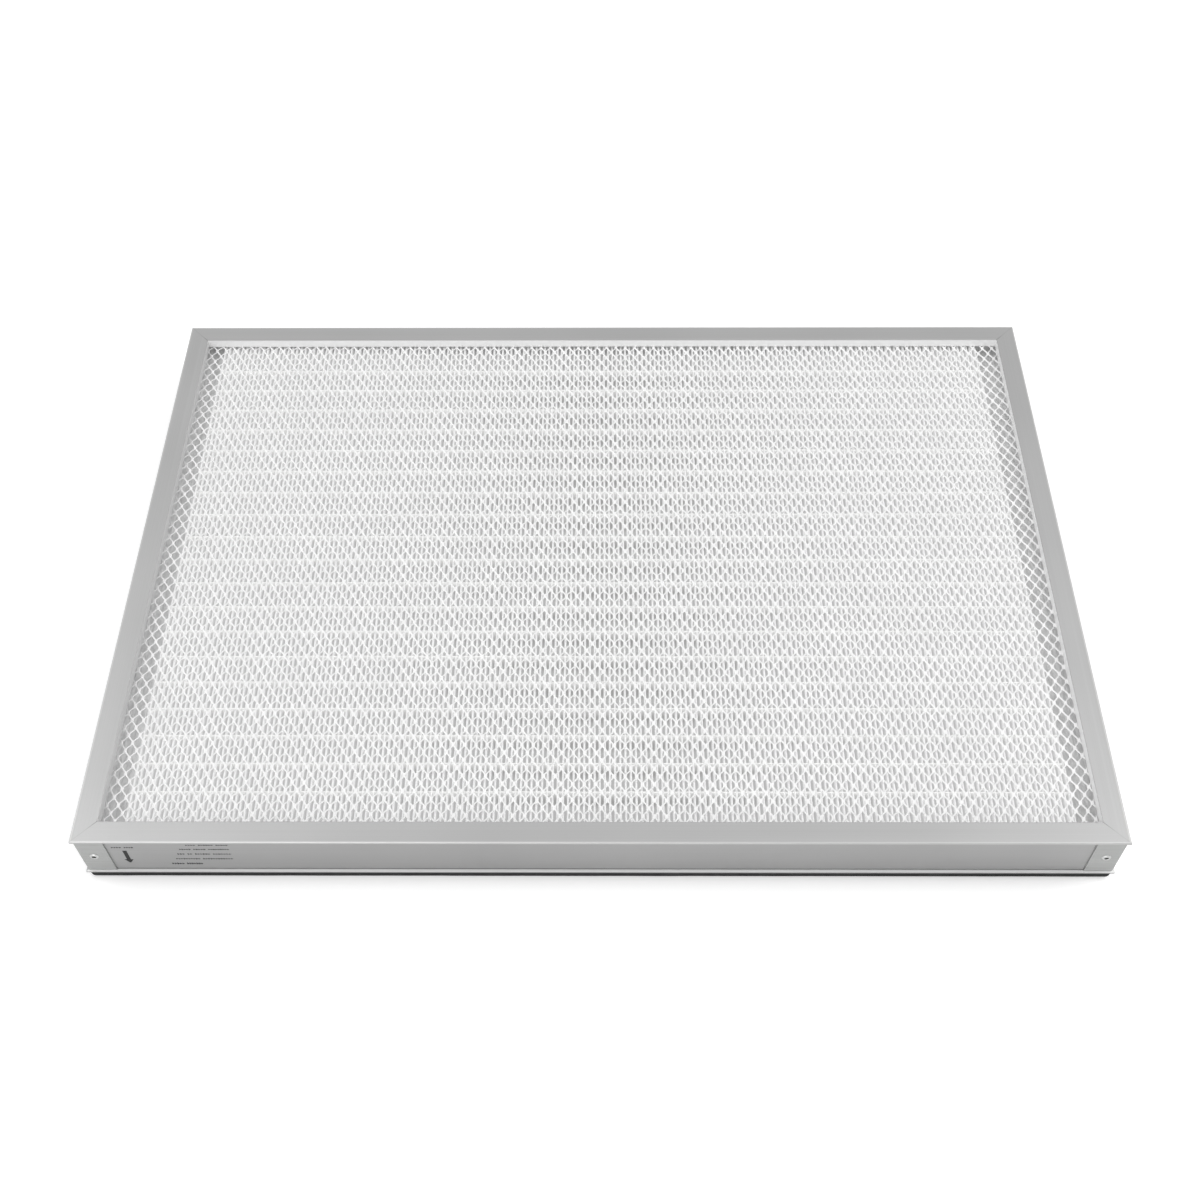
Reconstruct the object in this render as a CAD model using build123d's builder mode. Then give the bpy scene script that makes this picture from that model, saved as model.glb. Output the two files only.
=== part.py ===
from build123d import *
from math import cos, atan2, floor
import os

# A mini-pleat HEPA filter panel, lying flat with its gasket down.
# Millimetres. X runs along the long side, Y from front to back, Z up from the gasket's underside.

os.makedirs("parts", exist_ok=True)

# Whole panel, over the frame's flanges
panel_length = 800.0
panel_depth = 560.0
frame_height = 50.0

# Frame extrusion
flange_width = 18.2
flange_thickness = 2.0
lip_reach = 2.4
web_thickness = 1.6
leg_depth = 8.2
leg_thickness = 1.4
edge_break = 0.4

# Corner brackets in the recess outside the web
bracket_thickness = 1.2
bracket_leg_length = 23.0
bracket_bend_radius = 2.0
bracket_fit = 0.1

# Blind rivets, one through each bracket leg, drawn with few sides
rivet_sides = 8
rivet_inset = 12.5
rivet_head_radius = 3.6
rivet_head_height = 1.0
rivet_shank_radius = 2.0
rivet_tail_radius = 2.9
rivet_tail_length = 2.4
rivet_crown_radius = 2.4
rivet_hole_gap = 0.06

# Foam gasket
gasket_height = 6.5
gasket_width = 15.0
gasket_inset = 1.2
gasket_corner_radius = 9.0
gasket_edge_break = 1.5

# Face guards: expanded metal, drawn with fewer and larger meshes than the real sheet
guard_thickness = 1.6
guard_web_gap = 1.0
guard_rim = 6.0
guard_columns = 19
guard_rows = 5
guard_strand = 8.0
guard_bond_share = 0.19

# Pleated pack and its hot-melt beads
side_margin = 18.0
end_margin = 8.4
pleat_pitch = 4.11
media_thickness = 0.5
bead_height = 0.6
bead_width = 1.6
bead_spacing = 25.6

# Sealant between the pack and the frame
sealant_depth = 19.5

# Levels, from the gasket's underside up
frame_bottom = gasket_height
frame_top = frame_bottom + frame_height
frame_middle = frame_bottom + frame_height / 2
lower_guard_bottom = frame_bottom + leg_depth
lower_guard_top = lower_guard_bottom + guard_thickness
pack_bottom = lower_guard_top + bead_height
upper_guard_top = frame_top - leg_depth
upper_guard_bottom = upper_guard_top - guard_thickness
pack_top = upper_guard_bottom - bead_height

# Plan sizes that follow from the frame's section
web_outer = lip_reach
web_inner = lip_reach + web_thickness
bracket_outer = lip_reach - bracket_thickness
leg_outer = flange_width - leg_thickness
sealant_length = panel_length - 2 * web_inner
sealant_width = panel_depth - 2 * web_inner
pack_length = panel_length - 2 * (flange_width + side_margin)
pack_width = panel_depth - 2 * (flange_width + end_margin)

# Each side of the frame: the way inward, its length and the size across the panel
sides = {
    "front": (Vector(0, 1, 0), panel_length, panel_depth),
    "right": (Vector(-1, 0, 0), panel_depth, panel_length),
    "back": (Vector(0, -1, 0), panel_length, panel_depth),
    "left": (Vector(1, 0, 0), panel_depth, panel_length),
}

# One frame member per side, cut to a mitre at both ends
for side, (inward, run, across) in sides.items():
    along = inward.cross(Vector(0, 0, 1))
    middle = inward * (-across / 2)
    first_mitre = Plane(origin=middle - along * (run / 2), z_dir=along - inward)
    second_mitre = Plane(origin=middle + along * (run / 2), z_dir=-along - inward)
    with BuildPart() as member:
        with BuildSketch(Plane(origin=middle, x_dir=inward, z_dir=along)) as section:
            with BuildLine():
                Polyline(
                    (0, frame_bottom),
                    (flange_width, frame_bottom),
                    (flange_width, frame_bottom + leg_depth),
                    (leg_outer, frame_bottom + leg_depth),
                    (leg_outer, frame_bottom + flange_thickness),
                    (web_inner, frame_bottom + flange_thickness),
                    (web_inner, frame_top - flange_thickness),
                    (leg_outer, frame_top - flange_thickness),
                    (leg_outer, frame_top - leg_depth),
                    (flange_width, frame_top - leg_depth),
                    (flange_width, frame_top),
                    (0, frame_top),
                    (0, frame_top - flange_thickness),
                    (web_outer, frame_top - flange_thickness),
                    (web_outer, frame_bottom + flange_thickness),
                    (0, frame_bottom + flange_thickness),
                    close=True,
                )
            make_face()
            outer_corners = section.vertices().group_by(Axis.Y)[0] + section.vertices().group_by(Axis.Y)[-1]
            chamfer(outer_corners, length=edge_break)
        extrude(amount=run / 2, both=True)
        split(bisect_by=first_mitre, keep=Keep.TOP)
        split(bisect_by=second_mitre, keep=Keep.TOP)
        for shift in (rivet_inset - run / 2, run / 2 - rivet_inset):
            hole_plane = Plane(
                origin=middle + along * shift + Vector(0, 0, frame_middle),
                x_dir=along,
                z_dir=inward,
            )
            with BuildSketch(hole_plane):
                RegularPolygon(rivet_shank_radius + rivet_hole_gap, rivet_sides)
            extrude(amount=web_inner, mode=Mode.SUBTRACT)
    member.part.label = "frame_" + side
    export_step(member.part, "parts/frame_" + side + ".step")

# Corner brackets: each angle's outer corner, as the way it points along X and Y
corners = {
    "front_left": (-1, -1),
    "front_right": (1, -1),
    "back_left": (-1, 1),
    "back_right": (1, 1),
}
bracket_bottom = frame_bottom + flange_thickness + bracket_fit
bracket_height = frame_height - 2 * (flange_thickness + bracket_fit)
for corner, (x_side, y_side) in corners.items():
    corner_x = x_side * (panel_length / 2 - bracket_outer)
    corner_y = y_side * (panel_depth / 2 - bracket_outer)
    corner_frame = Plane(origin=(corner_x, corner_y, bracket_bottom))
    leg_x = -x_side * bracket_leg_length
    leg_y = -y_side * bracket_leg_length
    wall_x = -x_side * bracket_thickness
    wall_y = -y_side * bracket_thickness
    with BuildPart() as bracket:
        with BuildSketch(corner_frame) as angle:
            with BuildLine():
                Polyline(
                    (0, 0),
                    (leg_x, 0),
                    (leg_x, wall_y),
                    (wall_x, wall_y),
                    (wall_x, leg_y),
                    (0, leg_y),
                    close=True,
                )
            make_face()
            bend_corner = angle.vertices().sort_by_distance((0, 0, 0))[0]
            fillet(bend_corner, radius=bracket_bend_radius)
        extrude(amount=bracket_height)
        front_hole = Plane(
            origin=(x_side * (panel_length / 2 - rivet_inset), corner_y, frame_middle),
            x_dir=(1, 0, 0),
            z_dir=(0, -y_side, 0),
        )
        side_hole = Plane(
            origin=(corner_x, y_side * (panel_depth / 2 - rivet_inset), frame_middle),
            x_dir=(0, 1, 0),
            z_dir=(-x_side, 0, 0),
        )
        for hole_plane in (front_hole, side_hole):
            with BuildSketch(hole_plane):
                RegularPolygon(rivet_shank_radius + rivet_hole_gap, rivet_sides)
            extrude(amount=bracket_thickness, mode=Mode.SUBTRACT)
    bracket.part.label = "corner_bracket_" + corner
    export_step(bracket.part, "parts/corner_bracket_" + corner + ".step")

# Rivets: a low crowned head, a shank through bracket and web, and a set tail inside
grip = bracket_thickness + web_thickness
with BuildPart() as corner_rivets:
    for side, (inward, run, across) in sides.items():
        along = inward.cross(Vector(0, 0, 1))
        for shift in (rivet_inset - run / 2, run / 2 - rivet_inset):
            seat = inward * (bracket_outer - across / 2) + along * shift + Vector(0, 0, frame_middle)
            head_plane = Plane(origin=seat, x_dir=along, z_dir=-inward)
            shank_plane = Plane(origin=seat, x_dir=along, z_dir=inward)
            with BuildSketch(head_plane):
                RegularPolygon(rivet_head_radius, rivet_sides)
            with BuildSketch(head_plane.offset(rivet_head_height)):
                RegularPolygon(rivet_crown_radius, rivet_sides)
            loft()
            with BuildSketch(shank_plane):
                RegularPolygon(rivet_shank_radius, rivet_sides)
            extrude(amount=grip)
            with BuildSketch(shank_plane.offset(grip)):
                RegularPolygon(rivet_tail_radius, rivet_sides)
            extrude(amount=rivet_tail_length)
corner_rivets.part.label = "corner_rivets"
export_step(corner_rivets.part, "parts/corner_rivets.step")

# Gasket: one foamed ring with round corners and an eased lower edge
with BuildPart() as gasket:
    with BuildSketch(Plane.XY) as ring:
        RectangleRounded(
            panel_length - 2 * gasket_inset,
            panel_depth - 2 * gasket_inset,
            gasket_corner_radius,
        )
        Rectangle(
            panel_length - 2 * (gasket_inset + gasket_width),
            panel_depth - 2 * (gasket_inset + gasket_width),
            mode=Mode.SUBTRACT,
        )
    extrude(amount=gasket_height)
    underside = gasket.faces().sort_by(Axis.Z)[0]
    chamfer(underside.outer_wire().edges(), length=gasket_edge_break)
gasket.part.label = "gasket"
export_step(gasket.part, "parts/gasket.step")

# Sealant: cast between the lower guard, the web and the pack, with a pocket round each rivet tail
with BuildPart() as sealant:
    with BuildSketch(Plane.XY.offset(lower_guard_top)):
        Rectangle(sealant_length, sealant_width)
        Rectangle(pack_length, pack_width, mode=Mode.SUBTRACT)
    extrude(amount=sealant_depth)
    for side, (inward, run, across) in sides.items():
        along = inward.cross(Vector(0, 0, 1))
        for shift in (rivet_inset - run / 2, run / 2 - rivet_inset):
            seat = inward * (web_inner - across / 2) + along * shift + Vector(0, 0, frame_middle)
            with BuildSketch(Plane(origin=seat, x_dir=along, z_dir=inward)):
                RegularPolygon(rivet_tail_radius + rivet_hole_gap, rivet_sides)
            extrude(amount=rivet_tail_length + rivet_hole_gap, mode=Mode.SUBTRACT)
sealant.part.label = "sealant"
export_step(sealant.part, "parts/sealant.step")

# Pleated media: one sheet folded up and down across the panel's length, its outer edges upright flaps
pleat_count = floor(pack_length / pleat_pitch + 0.5)
fold_pitch = (pack_length - media_thickness) / (pleat_count + 0.5)
fold_width = fold_pitch / 2 + media_thickness
with BuildPart() as pleated_media:
    with BuildSketch(Plane.XZ):
        with BuildLine():
            inner_top = pack_top - media_thickness
            inner_bottom = pack_bottom + media_thickness
            upper_line = []
            lower_line = []
            for pleat in range(pleat_count + 1):
                fold_start = pleat * fold_pitch - pack_length / 2
                fold_end = fold_start + fold_width
                upper_foot = pack_bottom if pleat == 0 else inner_bottom
                last_foot = pack_bottom if pleat == pleat_count else inner_bottom
                upper_line += [
                    (fold_start, upper_foot),
                    (fold_start, pack_top),
                    (fold_end, pack_top),
                    (fold_end, last_foot),
                ]
                lower_line += [
                    (fold_start + media_thickness, pack_bottom),
                    (fold_start + media_thickness, inner_top),
                    (fold_end - media_thickness, inner_top),
                    (fold_end - media_thickness, pack_bottom),
                ]
            Polyline(*upper_line, *reversed(lower_line), close=True)
        make_face()
    extrude(amount=pack_width / 2, both=True)
pleated_media.part.label = "pleated_media"
export_step(pleated_media.part, "parts/pleated_media.step")

# Hot-melt beads: rows that cross the folds, above and below the pack
bead_rows = 2 * floor((pack_width - bead_width) / 2 / bead_spacing) + 1
for name, level in (("separator_beads_upper", pack_top), ("separator_beads_lower", lower_guard_top)):
    with BuildPart() as beads:
        with BuildSketch(Plane.XY.offset(level)):
            with GridLocations(0, bead_spacing, 1, bead_rows):
                Rectangle(pack_length, bead_width)
        extrude(amount=bead_height)
    beads.part.label = name
    export_step(beads.part, "parts/" + name + ".step")

# Face guards: meshes staggered by half a row in every other column, long way front to back
guard_length = panel_length - 2 * (web_inner + guard_web_gap)
guard_width = panel_depth - 2 * (web_inner + guard_web_gap)
window_length = panel_length - 2 * (flange_width + guard_rim)
window_width = panel_depth - 2 * (flange_width + guard_rim)
column_pitch = window_length / guard_columns
row_pitch = window_width / guard_rows
half_bond = row_pitch * guard_bond_share / 2
strand_rise = row_pitch / 2 - 2 * half_bond
strand_slope = atan2(strand_rise, column_pitch)
half_mesh = column_pitch - guard_strand / 2
mesh_tip = half_bond + strand_rise - guard_strand / 2 / cos(strand_slope)
mesh_shoulder = mesh_tip - strand_rise * half_mesh / column_pitch
mesh_outline = [
    (0, mesh_tip),
    (half_mesh, mesh_shoulder),
    (half_mesh, -mesh_shoulder),
    (0, -mesh_tip),
    (-half_mesh, -mesh_shoulder),
    (-half_mesh, mesh_shoulder),
]
for name, level in (("face_guard_upper", upper_guard_bottom), ("face_guard_lower", lower_guard_bottom)):
    with BuildPart() as guard:
        with BuildSketch(Plane.XY.offset(level)):
            Rectangle(guard_length, guard_width)
            with BuildSketch(mode=Mode.SUBTRACT):
                with GridLocations(2 * column_pitch, row_pitch, (guard_columns + 1) // 2, guard_rows):
                    Polygon(*mesh_outline, align=None)
                with GridLocations(2 * column_pitch, row_pitch, guard_columns // 2, guard_rows + 1):
                    Polygon(*mesh_outline, align=None)
                Rectangle(window_length, window_width, mode=Mode.INTERSECT)
        extrude(amount=guard_thickness)
    guard.part.label = name
    export_step(guard.part, "parts/" + name + ".step")
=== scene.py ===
import math
import random

import bmesh
import bpy
from mathutils import Matrix, Vector, noise


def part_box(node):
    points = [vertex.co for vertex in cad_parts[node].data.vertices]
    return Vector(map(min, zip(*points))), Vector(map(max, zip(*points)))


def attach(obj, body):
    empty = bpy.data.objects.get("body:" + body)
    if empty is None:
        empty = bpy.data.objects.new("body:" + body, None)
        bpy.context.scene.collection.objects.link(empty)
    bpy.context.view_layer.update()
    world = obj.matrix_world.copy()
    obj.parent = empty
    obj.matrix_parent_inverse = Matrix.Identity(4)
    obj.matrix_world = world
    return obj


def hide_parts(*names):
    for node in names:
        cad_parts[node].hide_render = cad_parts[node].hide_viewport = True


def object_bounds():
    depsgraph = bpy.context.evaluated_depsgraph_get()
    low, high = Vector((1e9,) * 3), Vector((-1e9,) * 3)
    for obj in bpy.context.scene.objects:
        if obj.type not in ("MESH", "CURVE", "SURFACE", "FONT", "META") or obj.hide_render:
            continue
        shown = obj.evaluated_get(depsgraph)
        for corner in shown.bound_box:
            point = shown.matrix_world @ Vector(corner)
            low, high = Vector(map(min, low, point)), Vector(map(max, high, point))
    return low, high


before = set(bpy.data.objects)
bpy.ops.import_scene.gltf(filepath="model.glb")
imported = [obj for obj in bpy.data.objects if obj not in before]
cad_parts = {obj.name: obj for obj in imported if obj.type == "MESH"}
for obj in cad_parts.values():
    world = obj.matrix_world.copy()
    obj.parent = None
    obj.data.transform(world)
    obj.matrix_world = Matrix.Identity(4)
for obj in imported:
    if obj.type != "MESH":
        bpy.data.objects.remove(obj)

MM = 0.001
cad_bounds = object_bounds()
random.seed(7)
noise.seed_set(7)        # noise vectors start from the clock until they are given a seed

# Sizes of the real panel, in metres, worked out from the CAD pieces
_, PANEL_HIGH = cad_bounds
FRONT_LOW, FRONT_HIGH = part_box("frame_front")
PACK_LOW, PACK_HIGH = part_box("pleated_media")
_, GASKET_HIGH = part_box("gasket")
FRAME_MIDDLE = (FRONT_LOW.z + FRONT_HIGH.z) / 2
PACK_MIDDLE = (PACK_LOW.z + PACK_HIGH.z) / 2

# Section of the extrusion: depths in from the panel's outline, and heights from its own middle
LIP_REACH = 2.4 * MM
WEB_BACK = 4.0 * MM
LEG_FACE = 18.2 * MM
LEG_FOOT = 16.8 * MM
LEG_TOP = 24.6 * MM
FLANGE_INSIDE = 23.0 * MM

WHITE = (1, 1, 1, 1)


def linear(hex_colour):
    """An sRGB hex colour as the linear values that shaders take."""
    values = []
    for start in (0, 2, 4):
        part = int(hex_colour[start:start + 2], 16) / 255
        values.append(part / 12.92 if part <= 0.04045 else ((part + 0.055) / 1.055) ** 2.4)
    return (*values, 1.0)


# Materials

def new_material(name):
    """An empty Principled material, its node tree and its shader."""
    material = bpy.data.materials.new(name)
    material.use_nodes = True
    tree = material.node_tree
    return material, tree, tree.nodes["Principled BSDF"]


def feed(tree, node, inputs):
    """Sets each input of a node to a value, or links it where it comes from another node."""
    for key, value in inputs.items():
        if isinstance(value, bpy.types.NodeSocket):
            tree.links.new(value, node.inputs[key])
        else:
            node.inputs[key].default_value = value


def add(tree, kind, settings=None, inputs=None):
    """One node with its settings and its inputs, which are values or other nodes' outputs."""
    made = tree.nodes.new(kind)
    for key, value in (settings or {}).items():
        setattr(made, key, value)
    feed(tree, made, inputs or {})
    return made


def grain(tree, spacing, detail=2.0, roughness=0.5):
    """Noise from 0 to 1 whose grains are spacing metres apart along the object's X, Y and Z."""
    coords = add(tree, "ShaderNodeTexCoord").outputs["Object"]
    scale = tuple(1 / step for step in spacing)
    mapping = add(tree, "ShaderNodeMapping", inputs={"Scale": scale, "Vector": coords})
    return add(
        tree, "ShaderNodeTexNoise",
        inputs={
            "Scale": 1.0, "Detail": detail, "Roughness": roughness,
            "Vector": mapping.outputs["Vector"],
        },
    ).outputs["Fac"]


def two_tones(tree, pattern, first, second):
    """The colour of a surface that wanders from one tone to another with a pattern."""
    ramp = add(tree, "ShaderNodeValToRGB", inputs={"Fac": pattern})
    for stop, position, tone in zip(ramp.color_ramp.elements, (0.3, 0.7), (first, second)):
        stop.position = position
        stop.color = linear(tone)
    return ramp.outputs["Color"]


def zone(tree, strength, *limits):
    """A mask of this strength where each value lies between its two limits, and 0 elsewhere."""
    mask = strength
    for value, low, high in limits:
        inside = add(
            tree, "ShaderNodeMath", {"operation": "COMPARE"},
            {0: value, 1: (low + high) / 2, 2: (high - low) / 2},
        ).outputs["Value"]
        mask = add(
            tree, "ShaderNodeMath", {"operation": "MULTIPLY"}, {0: inside, 1: mask},
        ).outputs["Value"]
    return mask


def strongest(tree, *masks):
    """The strongest of several masks at each point."""
    result = masks[0]
    for mask in masks[1:]:
        result = add(
            tree, "ShaderNodeMath", {"operation": "MAXIMUM"}, {0: result, 1: mask},
        ).outputs["Value"]
    return result


def frame_zones(tree, run_axis):
    """Masks of a frame member: painted rim highlight, hairlines and painted shade, sealant and painted
    light.
    """
    coords = add(tree, "ShaderNodeTexCoord").outputs["Object"]
    place = add(tree, "ShaderNodeSeparateXYZ", inputs={"Vector": coords})
    inward = []
    for axis in (0, 1):
        far = add(
            tree, "ShaderNodeMath", {"operation": "ABSOLUTE"}, {0: place.outputs[axis]},
        ).outputs["Value"]
        inward.append(add(
            tree, "ShaderNodeMath", {"operation": "SUBTRACT"}, {0: PANEL_HIGH[axis], 1: far},
        ).outputs["Value"])
    depth = inward[1 - run_axis]
    level = add(
        tree, "ShaderNodeMath", {"operation": "SUBTRACT"}, {0: place.outputs["Z"], 1: FRAME_MIDDLE},
    ).outputs["Value"]
    height = add(tree, "ShaderNodeMath", {"operation": "ABSOLUTE"}, {0: level}).outputs["Value"]

    # Limits pass the faces by a small margin, and reach stands for no limit on that side
    margin = 0.1 * MM
    reach = 1.0
    past_leg = (depth, LEG_FACE - margin, reach)
    # Painted highlight along the upper rim: the top flange's outer 1.3 mm and the top lip's face
    rim = zone(tree, 0.35, (depth, -reach, 1.3 * MM), (level, 0.0, reach))

    # The mitre is a hairline where both depths are equal, and opens towards the window
    apart = add(
        tree, "ShaderNodeMath", {"operation": "SUBTRACT"}, {0: inward[0], 1: inward[1]},
    ).outputs["Value"]
    apart = add(tree, "ShaderNodeMath", {"operation": "ABSOLUTE"}, {0: apart}).outputs["Value"]
    hairline = add(
        tree, "ShaderNodeMapRange",
        inputs={
            "Value": apart, "From Min": 0.15 * MM, "From Max": 0.55 * MM, "To Min": 1.0, "To Max": 0.0,
        },
    ).outputs["Result"]
    opened = add(
        tree, "ShaderNodeMapRange",
        inputs={
            "Value": depth, "From Min": 10 * MM, "From Max": 17 * MM, "To Min": 0.2, "To Max": 0.8,
        },
    ).outputs["Result"]
    mitre = add(
        tree, "ShaderNodeMath", {"operation": "MULTIPLY"}, {0: hairline, 1: opened},
    ).outputs["Value"]

    # Painted shade where the web meets the bottom lip, and on the leg's window face towards its foot
    painted_corner_shade = zone(
        tree, 0.75, (level, 0.05 * MM - FLANGE_INSIDE, 1.3 * MM - FLANGE_INSIDE),
        (depth, -reach, LIP_REACH + 0.2 * MM),
    )
    leg_shade = add(
        tree, "ShaderNodeMapRange",
        inputs={
            "Value": height, "From Min": LEG_FOOT, "From Max": 21 * MM, "To Min": 0.3, "To Max": 0.0,
        },
    ).outputs["Result"]
    # Dark mitre hairlines, joined with the painted shade
    dark = strongest(tree, mitre, painted_corner_shade, zone(tree, leg_shade, past_leg))

    # Sealant behind the web; on the leg's window side a pale painted reflection, and on the bottom
    # lip's top a painted highlight
    sealant_and_painted_light = strongest(
        tree,
        zone(
            tree, 1.0, (depth, WEB_BACK - 0.05 * MM, reach),
            (height, -reach, FLANGE_INSIDE - 0.05 * MM),
        ),
        zone(tree, 1.0, past_leg, (height, -reach, LEG_TOP)),
        zone(
            tree, 1.0, (depth, -reach, LIP_REACH - margin),
            (level, -0.2 * MM - FLANGE_INSIDE, margin - FLANGE_INSIDE),
        ),
    )
    return rim, dark, sealant_and_painted_light


def anodised_extrusion(name, run_axis, sealant_and_painted_light_colour):
    """Extruded 6063 aluminium, etched and clear anodised: satin, with faint die lines along its run.

    The rim carries a painted highlight, the mitres show as thin dark lines, painted shade darkens
    the corner above the bottom lip and the leg's foot, and a pale film lies on the faces round the
    pack: sealant behind the web, a painted reflection on the leg's window face and a painted
    highlight on the bottom lip's top.
    """
    material, tree, shader = new_material(name)
    spacing = tuple(420 * MM if axis == run_axis else 0.9 * MM for axis in range(3))
    die_lines = grain(tree, spacing, detail=3.0)
    etch = grain(tree, (0.35 * MM,) * 3)
    clouds = grain(tree, (130 * MM,) * 3, detail=1.0)
    rim, dark, sealant_and_painted_light = frame_zones(tree, run_axis)
    tone = add(
        tree, "ShaderNodeMix", {"data_type": "FLOAT"}, {"Factor": 0.5, "A": die_lines, "B": clouds},
    ).outputs["Result"]
    colour = two_tones(tree, tone, "adadad", "b6b6b6")
    # Painted highlight on the rim, dark hairlines with painted shade, then the pale film of sealant
    # and painted light
    for mask, hex_colour in ((rim, "dededd"), (dark, "6e6f6e"), (sealant_and_painted_light, sealant_and_painted_light_colour)):
        colour = add(
            tree, "ShaderNodeMix", {"data_type": "RGBA"},
            {"Factor": mask, "A": colour, "B": linear(hex_colour)},
        ).outputs["Result"]
    satin = add(
        tree, "ShaderNodeMapRange", inputs={"Value": die_lines, "To Min": 0.40, "To Max": 0.50},
    )
    bare_metal = add(
        tree, "ShaderNodeMapRange", inputs={"Value": sealant_and_painted_light, "To Min": 0.85, "To Max": 0.0},
    )
    skin = add(
        tree, "ShaderNodeMix", {"data_type": "FLOAT"}, {"Factor": 0.35, "A": die_lines, "B": etch},
    )
    bump = add(
        tree, "ShaderNodeBump",
        inputs={"Strength": 0.25, "Distance": 0.02 * MM, "Height": skin.outputs["Result"]},
    )
    feed(tree, shader, {
        "Base Color": colour,
        "Roughness": satin.outputs["Result"],
        "Metallic": bare_metal.outputs["Result"],
        "Normal": bump.outputs["Normal"],
    })
    return material


def rolled_sheet():
    """Rolled aluminium sheet of the corner brackets, etched and anodised: satin, a shade lighter."""
    material, tree, shader = new_material("anodised_bracket_sheet")
    rolling = grain(tree, (60 * MM, 60 * MM, 0.8 * MM), detail=3.0)
    etch = grain(tree, (0.35 * MM,) * 3)
    satin = add(
        tree, "ShaderNodeMapRange", inputs={"Value": rolling, "To Min": 0.42, "To Max": 0.50},
    )
    bump = add(
        tree, "ShaderNodeBump", inputs={"Strength": 0.2, "Distance": 0.02 * MM, "Height": etch},
    )
    feed(tree, shader, {
        "Base Color": two_tones(tree, rolling, "afb0af", "bcbdbc"),
        "Roughness": satin.outputs["Result"],
        "Metallic": 0.85,
        "Normal": bump.outputs["Normal"],
    })
    return material


def pressed_rivet_metal():
    """Aluminium rivet heads: brighter than the frame, with the shine of a pressed dome."""
    material, tree, shader = new_material("pressed_rivet_aluminium")
    scuffs = grain(tree, (0.8 * MM,) * 3, detail=3.0)
    shine = add(
        tree, "ShaderNodeMapRange", inputs={"Value": scuffs, "To Min": 0.22, "To Max": 0.36},
    )
    feed(tree, shader, {
        "Base Color": two_tones(tree, scuffs, "c9cac9", "e4e5e4"),
        "Roughness": shine.outputs["Result"],
        "Metallic": 1.0,
    })
    return material


def mandrel_steel():
    """Broken steel mandrel down in the rivet's bore: rough steel, painted dark as the shade in the
    bore.
    """
    material, tree, shader = new_material("broken_mandrel_steel")
    pits = grain(tree, (0.3 * MM,) * 3)
    feed(tree, shader, {
        "Base Color": two_tones(tree, pits, "3a3a39", "6c6c6a"),
        "Roughness": 0.45,
        "Metallic": 1.0,
    })
    return material


def foam_rubber():
    """Foamed EPDM with a matt skin and fine open cells: nearly black, no shine."""
    material, tree, shader = new_material("foam_rubber_gasket")
    coords = add(tree, "ShaderNodeTexCoord").outputs["Object"]
    cells = add(
        tree, "ShaderNodeTexVoronoi", inputs={"Scale": 1 / (0.9 * MM), "Vector": coords},
    )
    skin = grain(tree, (9 * MM,) * 3, detail=3.0)
    bump = add(
        tree, "ShaderNodeBump",
        inputs={"Strength": 0.5, "Distance": 0.12 * MM, "Height": cells.outputs["Distance"]},
    )
    feed(tree, shader, {
        "Base Color": two_tones(tree, skin, "262727", "383939"),
        "Roughness": 0.85,
        "Specular IOR Level": 0.3,
        "Normal": bump.outputs["Normal"],
    })
    return material


def cast_sealant():
    """Two-part polyurethane poured round the pack: pale and satin, with drawn ripples.

    It lets light soak in a little, which the low glow stands for.
    """
    material, tree, shader = new_material("cast_polyurethane_sealant")
    ripples = grain(tree, (2.6 * MM, 9 * MM, 9 * MM), detail=3.5)
    bump = add(
        tree, "ShaderNodeBump", inputs={"Strength": 0.8, "Distance": 1.5 * MM, "Height": ripples},
    )
    feed(tree, shader, {
        "Base Color": two_tones(tree, ripples, "d0d0d0", "f8f8f8"),
        "Roughness": 0.35,
        "Emission Color": WHITE,
        "Emission Strength": 0.07,
        "Normal": bump.outputs["Normal"],
    })
    return material


def glass_paper():
    """Wet-laid glass-fibre paper: matt white felt of fibres, faintly cloudy.

    Light soaks through the thin felt into the folds; the low glow stands for that. The fibres
    are drawn coarser than real ones, so that they show.
    """
    material, tree, shader = new_material("glass_fibre_paper")
    fibres = grain(tree, (0.25 * MM, 1.1 * MM, 0.6 * MM), detail=4.0, roughness=0.65)
    clouds = grain(tree, (16 * MM, 22 * MM, 8 * MM))
    tone = add(
        tree, "ShaderNodeMix", {"data_type": "FLOAT"}, {"Factor": 0.5, "A": fibres, "B": clouds},
    ).outputs["Result"]
    bump = add(
        tree, "ShaderNodeBump", inputs={"Strength": 0.35, "Distance": 0.05 * MM, "Height": fibres},
    )
    feed(tree, shader, {
        "Base Color": two_tones(tree, tone, "dbdbdb", "e4e4e4"),
        "Roughness": 0.95,
        "Specular IOR Level": 0.15,
        "Emission Color": WHITE,
        "Emission Strength": 0.145,
        "Normal": bump.outputs["Normal"],
    })
    return material


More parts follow.
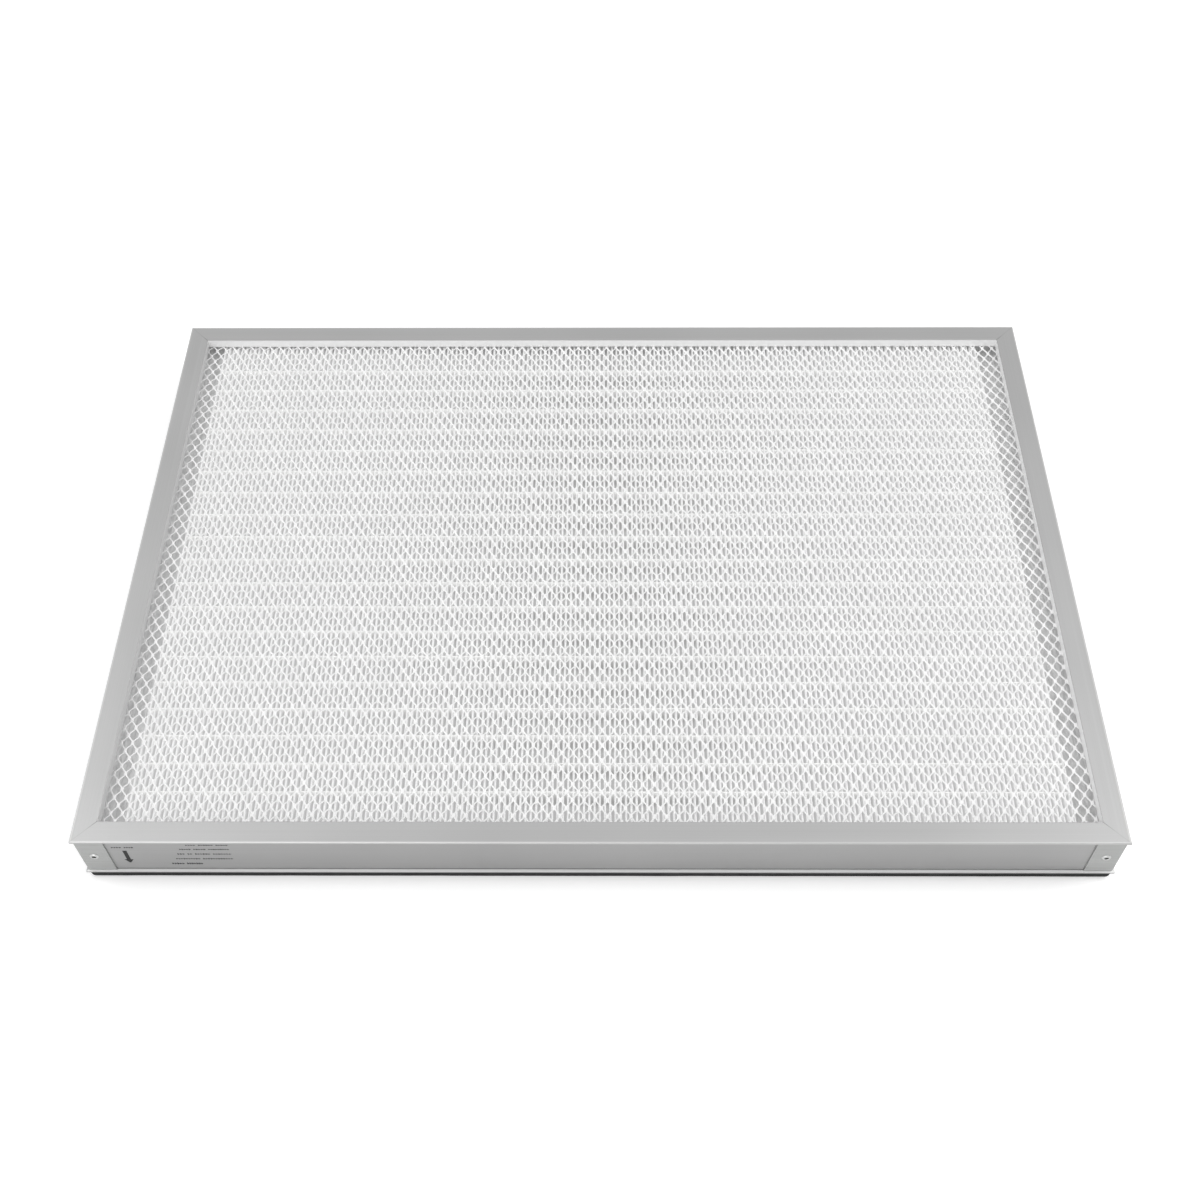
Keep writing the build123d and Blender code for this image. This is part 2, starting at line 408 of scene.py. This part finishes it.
def hot_melt():
    """Set EVA hot melt: off-white, waxy and slightly shiny threads of glue.

    Light soaks into the glue from both faces of the pack; a painted glow, stronger towards the crests,
    stands for it.
    """
    material, tree, shader = new_material("hot_melt_glue")
    lumps = grain(tree, (2.5 * MM,) * 3)
    coords = add(tree, "ShaderNodeTexCoord").outputs["Object"]
    place = add(tree, "ShaderNodeSeparateXYZ", inputs={"Vector": coords})
    level = add(
        tree, "ShaderNodeMath", {"operation": "SUBTRACT"}, {0: place.outputs["Z"], 1: PACK_MIDDLE},
    ).outputs["Value"]
    height = add(tree, "ShaderNodeMath", {"operation": "ABSOLUTE"}, {0: level}).outputs["Value"]
    painted_glow_to_crests = add(
        tree, "ShaderNodeMapRange",
        inputs={
            "Value": height, "From Min": 3 * MM, "From Max": 11 * MM, "To Min": 0.03, "To Max": 0.15,
        },
    )
    bump = add(
        tree, "ShaderNodeBump", inputs={"Strength": 0.3, "Distance": 0.2 * MM, "Height": lumps},
    )
    feed(tree, shader, {
        "Base Color": two_tones(tree, lumps, "dcdcdb", "e6e6e5"),
        "Roughness": 0.45,
        "Emission Color": WHITE,
        "Emission Strength": painted_glow_to_crests.outputs["Result"],
        "Normal": bump.outputs["Normal"],
    })
    return material


def powder_coat():
    """White polyester powder coat on expanded steel: semi-gloss with a fine orange-peel surface."""
    material, tree, shader = new_material("white_powder_coat")
    peel = grain(tree, (0.9 * MM,) * 3, detail=1.0)
    flow = grain(tree, (30 * MM,) * 3)
    gloss = add(
        tree, "ShaderNodeMapRange", inputs={"Value": flow, "To Min": 0.30, "To Max": 0.42},
    )
    bump = add(
        tree, "ShaderNodeBump", inputs={"Strength": 0.15, "Distance": 0.03 * MM, "Height": peel},
    )
    feed(tree, shader, {
        "Base Color": two_tones(tree, flow, "f4f4f4", "fafafa"),
        "Roughness": gloss.outputs["Result"],
        "Normal": bump.outputs["Normal"],
    })
    return material


def pad_print_ink():
    """Matt black pad-printing ink, a little uneven where the pad gave less."""
    material, tree, shader = new_material("pad_print_ink")
    cover = grain(tree, (0.4 * MM,) * 3, detail=3.0)
    feed(tree, shader, {
        "Base Color": two_tones(tree, cover, "0e0f0f", "1b1c1c"),
        "Roughness": 0.6,
    })
    return material


# Mesh helpers

def all_parts(shape):
    """Every vertex, edge and face of a bmesh."""
    return list(shape.verts) + list(shape.edges) + list(shape.faces)


def moved_verts(geometry):
    """The vertices among what a bmesh operator returned."""
    return [item for item in geometry if isinstance(item, bmesh.types.BMVert)]


def repeat(shape, geometry, count, step):
    """Copies geometry count - 1 more times, each moved on by step, and returns the whole row."""
    row = list(geometry)
    for index in range(1, count):
        copy = bmesh.ops.duplicate(shape, geom=geometry)["geom"]
        bmesh.ops.translate(shape, verts=moved_verts(copy), vec=Vector(step) * index)
        row.extend(copy)
    return row


def pull_edges(shape, edges, vec):
    """Extrudes a run of edges by vec and returns the new edges."""
    grown = bmesh.ops.extrude_edge_only(shape, edges=edges)["geom"]
    bmesh.ops.translate(shape, verts=moved_verts(grown), vec=vec)
    return [item for item in grown if isinstance(item, bmesh.types.BMEdge)]


def finish_piece(name, shape, material, nodes=(), smooth=False):
    """Turns a bmesh into an object that rides on the panel and stands for CAD nodes."""
    mesh = bpy.data.meshes.new(name)
    shape.to_mesh(mesh)
    shape.free()
    mesh.materials.append(material)
    mesh.polygons.foreach_set("use_smooth", [smooth] * len(mesh.polygons))
    piece = bpy.data.objects.new(name, mesh)
    bpy.context.scene.collection.objects.link(piece)
    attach(piece, "root")
    if nodes:
        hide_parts(*nodes)
    return piece


# Camera, solved from the panel's corners in the photograph

camera_data = bpy.data.cameras.new("photo_camera")
camera_data.sensor_width = 36
camera_data.lens = 44.952
camera_data.clip_start = 0.01
camera = bpy.data.objects.new("photo_camera", camera_data)
camera.rotation_mode = "QUATERNION"
pitch, yaw, roll = (math.radians(angle) for angle in (53.273, 0.665, 0.532))
upright = Matrix.Rotation(math.pi / 2 - pitch, 3, "X")
camera.rotation_quaternion = (
    Matrix.Rotation(yaw, 3, "Z") @ upright @ Matrix.Rotation(-roll, 3, "Z")
).to_quaternion()
camera.location = (0.00864, -0.80712, 1.06874)
bpy.context.scene.collection.objects.link(camera)
bpy.context.scene.camera = camera


# Frame members, brackets and sealant keep their CAD shape; the pale film's tone per member is painted
# light, darkest on the left member

long_member = anodised_extrusion("anodised_extrusion_long", 0, "f4f4f4")
bracket_metal = rolled_sheet()
finishes = {
    "frame_front": long_member,
    "frame_back": long_member,
    "frame_left": anodised_extrusion("anodised_extrusion_left", 1, "c2c2c2"),
    "frame_right": anodised_extrusion("anodised_extrusion_right", 1, "ececec"),
    "corner_bracket_front_left": bracket_metal,
    "corner_bracket_front_right": bracket_metal,
    "corner_bracket_back_left": bracket_metal,
    "corner_bracket_back_right": bracket_metal,
    "sealant": cast_sealant(),
}
for node, finish in finishes.items():
    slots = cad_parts[node].data.materials
    slots.clear()
    slots.append(finish)


# Rivets: pressed dome, set mandrel stub, shank and the bulb behind the web

RIVET_INSET = 12.5 * MM
BRACKET_SETBACK = 1.2 * MM
BORE_RADIUS = 1.72 * MM
BORE_DEPTH = 1.0 * MM


def rivet(shape):
    """One blind rivet about Z, its head's seat at z = 0 and its bore in the second material."""
    profile = [
        (0.0, -0.1), (0.8, -0.15), (1.0, -0.6), (1.65, -0.6), (1.7, 0.8), (1.85, 0.98), (2.2, 1.0),
        (2.7, 0.84), (3.3, 0.48), (3.6, 0.12), (3.6, 0.0), (2.0, 0.0), (2.0, -3.0), (2.9, -3.2),
        (2.7, -4.8), (1.6, -5.4), (0.0, -5.5),
    ]
    rim = [shape.verts.new((radius * MM, 0, height * MM)) for radius, height in profile]
    edges = [shape.edges.new(pair) for pair in zip(rim, rim[1:])]
    bmesh.ops.spin(
        shape, geom=rim + edges, cent=(0, 0, 0), axis=(0, 0, 1), angle=math.tau, steps=28,
        use_merge=True,
    )
    bmesh.ops.remove_doubles(shape, verts=shape.verts, dist=0.005 * MM)
    bmesh.ops.recalc_face_normals(shape, faces=shape.faces)
    # Faces in the bore take the mandrel's dark steel, which paints the shade in the hole
    for face in shape.faces:
        middle = face.calc_center_median()
        if math.hypot(middle.x, middle.y) < BORE_RADIUS and middle.z > -BORE_DEPTH:
            face.material_index = 1


def rivets():
    """All eight rivets, two in each corner bracket."""
    stands = []
    for end in (-1, 1):
        for face in (-1, 1):
            on_long_side = Matrix.Translation((
                end * (PANEL_HIGH.x - RIVET_INSET), face * (PANEL_HIGH.y - BRACKET_SETBACK),
                FRAME_MIDDLE,
            ))
            stands.append(on_long_side @ Matrix.Rotation(-face * math.pi / 2, 4, "X"))
            on_short_side = Matrix.Translation((
                face * (PANEL_HIGH.x - BRACKET_SETBACK), end * (PANEL_HIGH.y - RIVET_INSET),
                FRAME_MIDDLE,
            ))
            stands.append(on_short_side @ Matrix.Rotation(face * math.pi / 2, 4, "Y"))
    whole = bmesh.new()
    for stand in stands:
        one = bmesh.new()
        rivet(one)
        turned = Matrix.Rotation(random.uniform(0, math.tau), 4, "Z")
        bmesh.ops.transform(one, matrix=stand @ turned, verts=one.verts)
        mesh = bpy.data.meshes.new("rivet_form")
        one.to_mesh(mesh)
        one.free()
        whole.from_mesh(mesh)
        bpy.data.meshes.remove(mesh)
    piece = finish_piece(
        "corner_rivet_heads", whole, pressed_rivet_metal(), ["corner_rivets"],
        smooth=True,
    )
    piece.data.materials.append(mandrel_steel())


rivets()


# Foam gasket: a ring with rounded corners and soft edges, slightly uneven along its length

GASKET_WIDTH = 15 * MM
GASKET_BULGE = 0.6 * MM
GASKET_CORNER = 5 * MM
GASKET_RIM = 0.6 * MM


def gasket():
    """The foam ring under the bottom flange, bulged out a little past the cut strip."""
    shape = bmesh.new()
    bmesh.ops.create_grid(shape, x_segments=1, y_segments=1, size=0.5)
    outline = (2 * (GASKET_HIGH.x + GASKET_BULGE), 2 * (GASKET_HIGH.y + GASKET_BULGE), 1)
    bmesh.ops.scale(shape, vec=outline, verts=shape.verts)
    bmesh.ops.inset_region(
        shape, faces=list(shape.faces), thickness=GASKET_WIDTH, use_even_offset=True,
        use_boundary=True,
    )
    middle = max(shape.faces, key=lambda face: face.calc_area())
    bmesh.ops.delete(shape, geom=[middle], context="FACES")
    sides = [edge for edge in shape.edges if edge.calc_length() > 2 * GASKET_WIDTH]
    bmesh.ops.subdivide_edges(shape, edges=sides, cuts=60, use_grid_fill=True)
    grown = bmesh.ops.extrude_face_region(shape, geom=list(shape.faces))["geom"]
    bmesh.ops.translate(shape, verts=moved_verts(grown), vec=(0, 0, GASKET_HIGH.z))
    bmesh.ops.recalc_face_normals(shape, faces=shape.faces)
    corners = [
        edge for edge in shape.edges
        if abs(edge.verts[0].co.z - edge.verts[1].co.z) > GASKET_HIGH.z / 2
        and abs(edge.verts[0].co.x) > GASKET_HIGH.x and abs(edge.verts[0].co.y) > GASKET_HIGH.y
    ]
    bmesh.ops.bevel(
        shape, geom=corners, offset=GASKET_CORNER, offset_type="OFFSET", segments=8, profile=0.5,
        affect="EDGES", material=-1,
    )
    rims = [
        edge for edge in shape.edges
        if len(edge.link_faces) == 2 and edge.calc_face_angle(0) > math.radians(60)
        and abs(edge.verts[0].co.z - edge.verts[1].co.z) < GASKET_HIGH.z / 2
    ]
    bmesh.ops.bevel(
        shape, geom=rims, offset=GASKET_RIM, offset_type="OFFSET", segments=3, profile=0.5,
        affect="EDGES", material=-1,
    )
    flat = 0.5 * MM
    for vert in shape.verts:
        wander = noise.noise_vector(vert.co / (22 * MM)) * 0.12 * MM
        if vert.co.z < flat or vert.co.z > GASKET_HIGH.z - flat:
            wander.z = 0
        vert.co += wander
    finish_piece("foam_gasket_ring", shape, foam_rubber(), ["gasket"], smooth=True)


gasket()


# Expanded-metal guards: bonds and strands pulled from one edge, repeated, cut and thickened

MESH_PITCH_X = 9.11 * MM
MESH_PITCH_Y = 14.07 * MM
BOND_X = -1.41 * MM
BOND_Y = 0.92 * MM
BOND_LENGTH = 3.1 * MM
STRAND_WIDTH = 1.18 * MM
STRAND_RISE = 0.5 * MM
SHEET_THICKNESS = 0.6 * MM
GUARD_TRIM = 3 * MM
GUARD_TURN = math.radians(-0.33)


def guard(name, node, lean, powder):
    """One face guard; lean is the way its strands tilt."""
    low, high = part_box(node)
    shape = bmesh.new()
    foot = [
        shape.verts.new((side * STRAND_WIDTH, -BOND_LENGTH / 2, side * lean * STRAND_RISE))
        for side in (-1, 0, 1)
    ]
    bond = [shape.edges.new(pair) for pair in zip(foot, foot[1:])]
    head = pull_edges(shape, bond, (0, BOND_LENGTH, 0))
    reach = MESH_PITCH_X / 2 - STRAND_WIDTH
    climb = MESH_PITCH_Y / 2 - BOND_LENGTH
    head.sort(key=lambda edge: edge.verts[0].co.x + edge.verts[1].co.x)
    pull_edges(shape, [head[0]], (-reach, climb, lean * STRAND_RISE))
    pull_edges(shape, [head[1]], (reach, climb, -lean * STRAND_RISE))
    columns = 2 * int(high.x / MESH_PITCH_X + 2)
    rows = 2 * int(high.y / MESH_PITCH_Y + 2)
    start = (BOND_X - MESH_PITCH_X * columns / 2, BOND_Y - MESH_PITCH_Y * rows / 2, 0)
    unit = all_parts(shape)
    bmesh.ops.translate(shape, verts=list(shape.verts), vec=start)
    pair = repeat(shape, unit, 2, (MESH_PITCH_X / 2, MESH_PITCH_Y / 2, 0))
    row = repeat(shape, pair, columns + 1, (MESH_PITCH_X, 0, 0))
    repeat(shape, row, rows + 1, (0, MESH_PITCH_Y, 0))
    bmesh.ops.remove_doubles(shape, verts=shape.verts, dist=0.02 * MM)
    turned = Matrix.Rotation(GUARD_TURN, 3, "Z")
    bmesh.ops.rotate(shape, verts=shape.verts, cent=(0, 0, 0), matrix=turned)
    edge_x = high.x - GUARD_TRIM
    edge_y = high.y - GUARD_TRIM
    for place in ((edge_x, 0, 0), (-edge_x, 0, 0), (0, edge_y, 0), (0, -edge_y, 0)):
        bmesh.ops.bisect_plane(
            shape, geom=all_parts(shape), dist=0.001 * MM, plane_co=place,
            plane_no=Vector(place).normalized(), clear_outer=True,
        )
    bmesh.ops.recalc_face_normals(shape, faces=shape.faces)
    if sum(face.normal.z for face in shape.faces) < 0:
        bmesh.ops.reverse_faces(shape, faces=shape.faces)
    bmesh.ops.solidify(shape, geom=list(shape.faces), thickness=SHEET_THICKNESS)
    bottom = min(vert.co.z for vert in shape.verts)
    top = max(vert.co.z for vert in shape.verts)
    middle = (low.z + high.z) / 2 - (bottom + top) / 2
    bmesh.ops.translate(shape, verts=shape.verts, vec=(0, 0, middle))
    finish_piece(name, shape, powder, [node])


powder = powder_coat()
guard("expanded_guard_upper", "face_guard_upper", 1, powder)
guard("expanded_guard_lower", "face_guard_lower", -1, powder)


# Pleated paper: rounded crests, level ends, and folds that stray a little as real ones do

FOLD_PITCH = 4.096 * MM
FOLD_COUNT = 179
FOLD_SHIFT = -0.70 * MM
FIRST_FOLD = -89 * FOLD_PITCH + FOLD_SHIFT
FOLD_SKEW = -0.0045
PACK_REACH = 265.5 * MM
PACK_LENGTHS = 15
PAPER = 0.45 * MM
CREST_WIDTH = 2.15 * MM
CREST_FALL = 0.75 * MM
CREST_SIDE = 3.2 * MM
VALLEY_WIDTH = 0.9 * MM
VALLEY_RISE = 0.55 * MM


def fold_lean(place):
    """How far a point of a fold strays sideways, in metres."""
    slow = noise.noise(Vector((place.x / (38 * MM), place.y / (60 * MM), 3.1)))
    quick = noise.noise(Vector((place.x / (5 * MM), place.y / (11 * MM), place.z * 4)))
    return (0.22 * slow + 0.10 * quick) * MM


def crest_rise(place):
    """How far a crest stands up or sinks at a point, in metres."""
    return 0.12 * MM * noise.noise(Vector((place.x / (9 * MM), place.y / (45 * MM), 8.0)))


def pleated_pack():
    """The whole pack as one folded sheet, drawn crest by crest along X and pulled along Y."""
    shape = bmesh.new()
    low = PACK_LOW.z + PAPER / 2
    high = PACK_HIGH.z - PAPER / 2
    half = CREST_WIDTH / 2 - PAPER / 2
    shoulder, shoulder_fall = 0.68 * half, 0.28 * CREST_FALL
    crest = [
        (-half, -CREST_FALL - CREST_SIDE), (-half, -CREST_FALL), (-shoulder, -shoulder_fall), (0, 0),
        (shoulder, -shoulder_fall), (half, -CREST_FALL), (half, -CREST_FALL - CREST_SIDE),
    ]
    valley = [(-VALLEY_WIDTH, VALLEY_RISE), (0, 0), (VALLEY_WIDTH, VALLEY_RISE)]
    line = []
    for index in range(FOLD_COUNT):
        middle = FIRST_FOLD + FOLD_PITCH * index
        line.extend(shape.verts.new((middle + x, -PACK_REACH, high + z)) for x, z in crest)
        if index < FOLD_COUNT - 1:
            foot = middle + FOLD_PITCH / 2
            line.extend(shape.verts.new((foot + x, -PACK_REACH, low + z)) for x, z in valley)
    edges = [shape.edges.new(pair) for pair in zip(line, line[1:])]
    for _ in range(PACK_LENGTHS):
        edges = pull_edges(shape, edges, (0, 2 * PACK_REACH / PACK_LENGTHS, 0))
    for vert in shape.verts:
        place = vert.co.copy()
        vert.co.x += fold_lean(place) + FOLD_SKEW * place.y
        if place.z > high - 4 * MM:
            vert.co.z += crest_rise(place)
    bmesh.ops.recalc_face_normals(shape, faces=shape.faces)
    bmesh.ops.solidify(shape, geom=list(shape.faces), thickness=PAPER)
    finish_piece("pleated_paper_pack", shape, glass_paper(), ["pleated_media"])


pleated_pack()


# Hot-melt threads: a glue wall in every fold, and the thread that dips between the crests

BEAD_STEP = 25.6 * MM
BEAD_ROWS = 19
BEAD_WIDTH = 1.7 * MM
BEAD_SHOULDER = 0.5 * MM
BEAD_SINK = 0.3 * MM
BEAD_DIP = 0.4 * MM


def glue_threads(name, node, crest_z, depth_z, material):
    """One side's rows of glue; crest_z is the crests' level and depth_z is where the walls end."""
    low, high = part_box(node)
    up, top = (1, high.z) if crest_z > depth_z else (-1, low.z)
    half = BEAD_WIDTH / 2
    shoulder = crest_z - up * BEAD_SHOULDER
    section = [
        (-half, depth_z), (-half, shoulder), (-0.5 * half, top), (0.5 * half, top),
        (half, shoulder), (half, depth_z),
    ]
    shape = bmesh.new()
    ring = [shape.verts.new((FIRST_FOLD, y, z)) for y, z in section]
    loop = [shape.edges.new(pair) for pair in zip(ring, ring[1:] + ring[:1])]
    bmesh.ops.edgeloop_fill(shape, edges=loop)
    for _ in range(2 * (FOLD_COUNT - 1)):
        loop = pull_edges(shape, loop, (FOLD_PITCH / 2, 0, 0))
    bmesh.ops.edgeloop_fill(shape, edges=loop)
    first_row = (0, -BEAD_STEP * (BEAD_ROWS - 1) / 2, 0)
    bmesh.ops.translate(shape, verts=list(shape.verts), vec=first_row)
    repeat(shape, all_parts(shape), BEAD_ROWS, (0, BEAD_STEP, 0))
    for vert in shape.verts:
        if up * (vert.co.z - crest_z) > -1 * MM:
            phase = math.tau * (vert.co.x - FOLD_SHIFT - FOLD_SKEW * vert.co.y) / FOLD_PITCH
            vert.co.z -= up * (BEAD_SINK + BEAD_DIP * (0.5 - 0.5 * math.cos(phase)))
        place = Vector((vert.co.x / (17 * MM), vert.co.y / (30 * MM), 1.0))
        vert.co.y += 0.35 * MM * noise.noise(place)
    bmesh.ops.recalc_face_normals(shape, faces=shape.faces)
    finish_piece(name, shape, material, [node])


glue = hot_melt()
glue_threads("glue_threads_upper", "separator_beads_upper", PACK_HIGH.z, PACK_MIDDLE, glue)
glue_threads("glue_threads_lower", "separator_beads_lower", PACK_LOW.z, PACK_MIDDLE - 0.1 * MM, glue)


# Printed marks on the front web: a plain arrow, and bars in place of the lines of print

WEB_Y = FRONT_LOW.y + LIP_REACH
INK = 0.04 * MM
ARROW_X = -362.8 * MM
CELL_WIDTH = 1.9
WORD_GAP = 1.8

# Each row in millimetres: its left end, its drop below the top, its height and its words' widths
PRINT_ROWS = [
    (-371.8, 12.7, 2.3, (8.0, 7.4)),
    (-331.1, 39.0, 3.2, (9.8, 12.6)),
    (-326.2, 31.0, 2.2, (19.0, 23.4)),
    (-323.5, 23.2, 2.2, (6.0, 4.0, 12.0, 14.2)),
    (-320.4, 15.6, 2.2, (9.0, 9.6, 16.2)),
    (-314.4, 8.9, 1.9, (8.0, 11.6, 9.4)),
]


def plate(shape, middle_x, drop, width, height):
    """A thin flat mark on the front web, its middle this far below the panel's top."""
    made = bmesh.ops.create_cube(shape, size=1)["verts"]
    bmesh.ops.scale(shape, vec=(width, INK, height), verts=made)
    place = (middle_x, WEB_Y - INK / 2, PANEL_HIGH.z - drop)
    bmesh.ops.translate(shape, vec=place, verts=made)
    return made


def marks():
    """The arrow and the rows of bars, as flat ink."""
    shape = bmesh.new()
    plate(shape, ARROW_X, 25.0 * MM, 3.2 * MM, 14.4 * MM)
    head_drop = 34.6 * MM
    head = plate(shape, ARROW_X, head_drop, 7.0 * MM, 5.2 * MM)
    tip = [vert for vert in head if vert.co.z < PANEL_HIGH.z - head_drop]
    bmesh.ops.scale(shape, vec=(0.16, 1, 1), verts=tip, space=Matrix.Translation((-ARROW_X, 0, 0)))
    for left, drop, height, words in PRINT_ROWS:
        for word in words:
            cells = max(2, round(word / CELL_WIDTH))
            cell = word / cells
            for index in range(cells):
                middle = left + cell * (index + 0.5)
                tall = height * random.choice((0.75, 0.75, 1.0))
                plate(shape, middle * MM, drop * MM, cell * 0.8 * MM, tall * 0.5 * MM)
                plate(shape, (middle - cell * 0.2) * MM, drop * MM, cell * 0.3 * MM, tall * MM)
            left += word + WORD_GAP
    finish_piece("printed_marks", shape, pad_print_ink())


marks()


# Floor, light and background

def pale_floor():
    """A plain matt floor that pales to the camera with distance, so that it meets the backdrop."""
    shape = bmesh.new()
    bmesh.ops.create_grid(shape, x_segments=1, y_segments=1, size=9)
    mesh = bpy.data.meshes.new("studio_floor")
    shape.to_mesh(mesh)
    shape.free()
    floor = bpy.data.objects.new("studio_floor", mesh)
    bpy.context.scene.collection.objects.link(floor)
    material, tree, shader = new_material("matt_white_floor")
    feed(tree, shader, {
        "Base Color": linear("f2f2f2"), "Roughness": 0.9, "Specular IOR Level": 0.0,
    })
    coords = add(tree, "ShaderNodeTexCoord").outputs["Object"]
    distance = add(tree, "ShaderNodeVectorMath", {"operation": "LENGTH"}, {0: coords})
    lift = add(
        tree, "ShaderNodeMapRange",
        inputs={
            "Value": distance.outputs["Value"], "From Min": 0.5, "From Max": 2.0,
            "To Min": 0.28, "To Max": 1.2,
        },
    )
    rays = add(tree, "ShaderNodeLightPath")
    strength = add(
        tree, "ShaderNodeMath", {"operation": "MULTIPLY"},
        {0: lift.outputs["Result"], 1: rays.outputs["Is Camera Ray"]},
    )
    glow = add(
        tree, "ShaderNodeEmission", inputs={"Color": WHITE, "Strength": strength.outputs["Value"]},
    )
    total = add(
        tree, "ShaderNodeAddShader",
        inputs={0: shader.outputs["BSDF"], 1: glow.outputs["Emission"]},
    )
    feed(tree, tree.nodes["Material Output"], {"Surface": total.outputs["Shader"]})
    mesh.materials.append(material)


def softbox(name, place, size, power):
    """A large square lamp that faces the panel."""
    data = bpy.data.lights.new(name, "AREA")
    data.shape = "SQUARE"
    data.size = size
    data.energy = power
    lamp = bpy.data.objects.new(name, data)
    lamp.location = place
    lamp.rotation_mode = "QUATERNION"
    lamp.rotation_quaternion = (-Vector(place)).to_track_quat("-Z", "Y")
    bpy.context.scene.collection.objects.link(lamp)


def studio_world():
    """Pale surroundings: white to the camera, a shade darker low down in the metal's reflections."""
    world = bpy.data.worlds.new("studio_surround")
    world.use_nodes = True
    tree = world.node_tree
    rays = add(tree, "ShaderNodeLightPath")
    coords = add(tree, "ShaderNodeTexCoord").outputs["Generated"]
    place = add(tree, "ShaderNodeSeparateXYZ", inputs={"Vector": coords})
    mirrored = add(
        tree, "ShaderNodeMapRange",
        inputs={
            "Value": place.outputs["Z"], "From Min": 0.6, "From Max": 0.92,
            "To Min": 0.80, "To Max": 1.0,
        },
    )
    sharp = strongest(tree, rays.outputs["Is Glossy Ray"], rays.outputs["Is Transmission Ray"])
    level = add(
        tree, "ShaderNodeMix", {"data_type": "FLOAT"},
        {"Factor": sharp, "A": 0.60, "B": mirrored.outputs["Result"]},
    )
    seen = add(
        tree, "ShaderNodeMix", {"data_type": "FLOAT"},
        {"Factor": rays.outputs["Is Camera Ray"], "A": level.outputs["Result"], "B": 1.0},
    )
    feed(tree, tree.nodes["Background"], {"Color": WHITE, "Strength": seen.outputs["Result"]})
    bpy.context.scene.world = world


pale_floor()
studio_world()
softbox("right_softbox", (1.95, 0.1, 1.75), 1.0, 26)
softbox("left_softbox", (-1.5, 0.1, 1.9), 1.1, 13)
softbox("front_softbox", (-0.6, -2.0, 1.0), 1.4, 11)
bpy.context.scene.view_settings.view_transform = "Standard"
